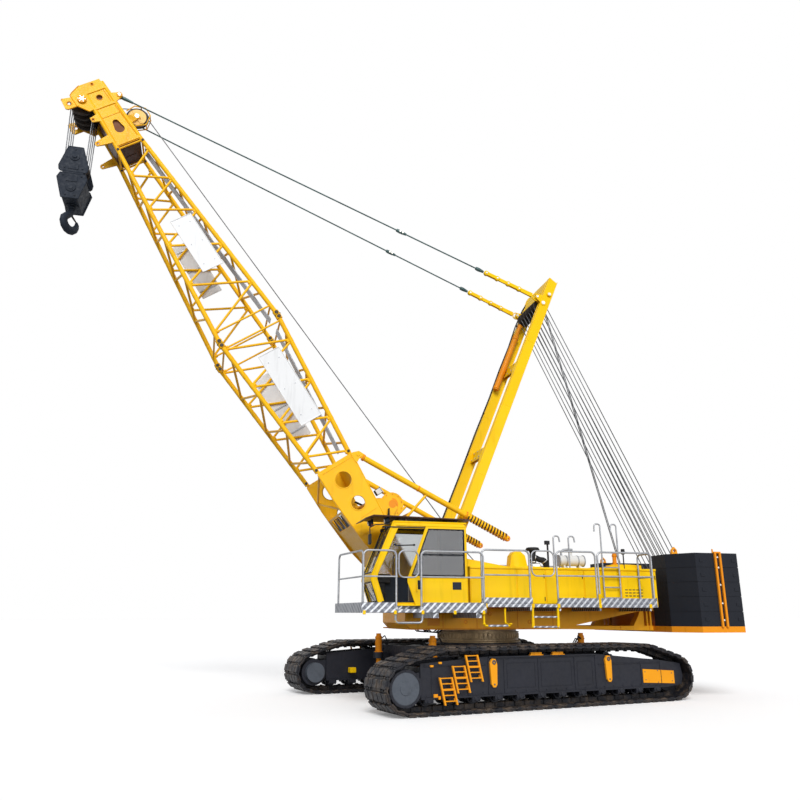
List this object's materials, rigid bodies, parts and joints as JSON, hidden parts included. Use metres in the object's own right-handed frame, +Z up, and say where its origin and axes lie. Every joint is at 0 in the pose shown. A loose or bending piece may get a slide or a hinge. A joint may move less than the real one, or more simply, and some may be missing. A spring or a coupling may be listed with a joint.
{
  "type": "crawler crane",
  "caption": "Lattice boom crawler crane with slewing upper works, cab, luffing boom, mast, pendants, counterweight and a hook block below the boom head",
  "frame": {"origin": "on the ground under the slew axis", "axes": "+X the way the boom points, +Y to the crane's left (the cab's side), +Z up"},
  "size_m": [16.8085, 7.5939, 15.2825],
  "materials": {
    "yellow_steel": "gloss paint",
    "orange_steel": "gloss paint",
    "black_steel": "satin paint",
    "brown_steel": "satin paint",
    "grey_steel": "galvanised",
    "bright_steel": "aluminised",
    "track_steel": "worn cast",
    "cast_weight": "painted casting",
    "rope_steel": "greased rope",
    "white_board": "satin paint",
    "glass": "tinted",
    "seat": "woven"
  },
  "bodies": {
    "undercarriage": {"track_left": "track_steel", "track_right": "track_steel", "track_frames": "black_steel", "track_rollers": "black_steel", "end_wheels": "black_steel", "final_drives": "grey_steel", "track_steps": "orange_steel", "track_fittings": "orange_steel", "carbody": "black_steel", "jack_cylinders": "orange_steel", "slew_ring": "grey_steel"},
    "upper_works": {"slew_race": "grey_steel", "revolving_frame": "orange_steel", "frame_winches": "yellow_steel", "counterweight_tray": "orange_steel", "counterweights": "cast_weight", "lifting_eyes": "orange_steel", "machinery_houses": "yellow_steel", "roof_covers": "yellow_steel", "air_intake": "black_steel", "muffler": "bright_steel", "walkways": "grey_steel", "cab_platform": "grey_steel", "access_steps": "yellow_steel", "railings": "grey_steel", "hand_canes": "grey_steel", "cab_frame": "yellow_steel", "cab_glass": "glass", "operator_seat": "seat", "cab_roof_guard": "brown_steel"},
    "cab_door": {"cab_door": "yellow_steel", "door_glass": "glass"},
    "boom": {"boom_foot_plates": "yellow_steel", "boom_foot_section": "yellow_steel", "boom_top_section": "yellow_steel", "boom_walkway": "grey_steel", "sign_boards": "white_board", "boom_head": "yellow_steel", "boom_head_sheaves": "cast_weight", "boom_winch": "yellow_steel", "backstops": "yellow_steel"},
    "mast": {"mast": "yellow_steel", "mast_cylinder": "orange_steel"},
    "mast_block": {"mast_sheaves": "cast_weight"},
    "frame_block": {"lower_sheaves": "cast_weight"},
    "pendants": {"pendants": "rope_steel"},
    "hook_block": {"hook_block": "black_steel", "hoist_falls": "rope_steel"},
    "hook": {"hook": "black_steel"}
  },
  "joints": [
    {"name": "slew", "type": "hinge", "parent": "undercarriage", "child": "upper_works", "pos_m": [0, 0, 1.5], "axis": [0, 0, 1], "continuous": true},
    {"name": "cab_door_slide", "type": "slide", "parent": "upper_works", "child": "cab_door", "axis": [1, 0, 0], "range_m": [0, 0.64]},
    {"name": "boom_luff", "type": "hinge", "parent": "upper_works", "child": "boom", "pos_m": [1.862, 0, 2.47], "axis": [0, -1, 0], "range_deg": [-26.1, 21.9]},
    {"name": "mast_luff", "type": "hinge", "parent": "upper_works", "child": "mast", "pos_m": [1.19, 0, 2.62], "axis": [0, -1, 0], "range_deg": [-27.33, 22.95]},
    {"name": "pendant_pivot", "type": "hinge", "parent": "boom", "child": "pendants", "pos_m": [9.65674, 0, 14.89454], "axis": [0, -1, 0], "range_deg": [-1.12, 1.32]},
    {"name": "hook_block_hang", "type": "hinge", "parent": "boom", "child": "hook_block", "pos_m": [10.53475, 0, 14.5696], "axis": [0, -1, 0], "range_deg": [-22, 26.2]},
    {"name": "hook_swivel", "type": "hinge", "parent": "hook_block", "child": "hook", "pos_m": [10.53475, 0, 11.75], "axis": [0, 0, 1], "continuous": true},
    {"name": "frame_block_swing", "type": "hinge", "parent": "upper_works", "child": "frame_block", "pos_m": [-5.6, 0, 2.56], "axis": [0, -1, 0], "range_deg": [-18.11, 15.21]},
    {"name": "mast_block_swing", "type": "hinge", "parent": "mast", "child": "mast_block", "pos_m": [-1.89585, 0, 10.16338], "axis": [0, -1, 0], "range_deg": [-7.84, 9.32]}
  ],
  "couplings": [
    {"joint": "mast_luff", "follows": "boom_luff", "ratio": 1.0432},
    {"joint": "pendant_pivot", "follows": "boom_luff", "ratio": -0.046635},
    {"joint": "hook_block_hang", "follows": "boom_luff", "ratio": -1},
    {"joint": "frame_block_swing", "follows": "boom_luff", "ratio": 0.69},
    {"joint": "mast_block_swing", "follows": "boom_luff", "ratio": -0.35324}
  ]
}
